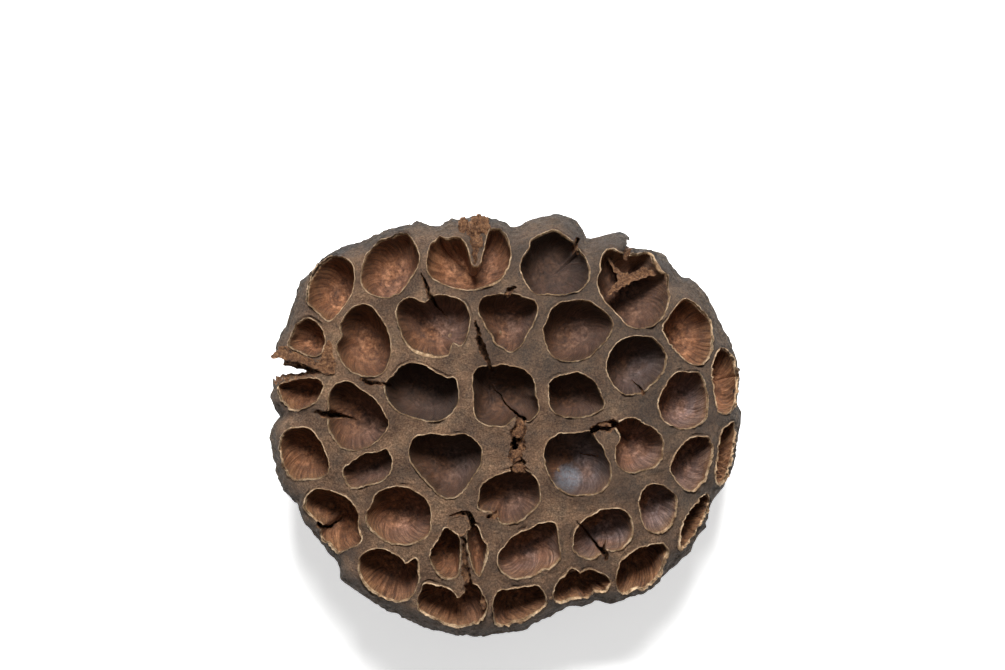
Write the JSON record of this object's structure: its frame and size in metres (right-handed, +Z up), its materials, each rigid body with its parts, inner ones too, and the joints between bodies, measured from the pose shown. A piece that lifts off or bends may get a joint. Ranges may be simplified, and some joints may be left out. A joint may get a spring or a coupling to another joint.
{
  "type": "dried lotus seed head",
  "caption": "Dried lotus seed head: a broad domed face full of empty seed sockets, on a back that narrows to a flat stem scar.",
  "frame": {"origin": "centre of the flat stem scar underneath, the face that the head rests on", "axes": "+Z points up out of the socketed face; +X is to the right and +Y is to the back as seen from above, with the low side of the face to the right"},
  "size_m": [0.1047, 0.0938, 0.058],
  "materials": {
    "dried_tissue": "matte"
  },
  "bodies": {
    "root": {"receptacle": "dried_tissue"}
  },
  "joints": []
}
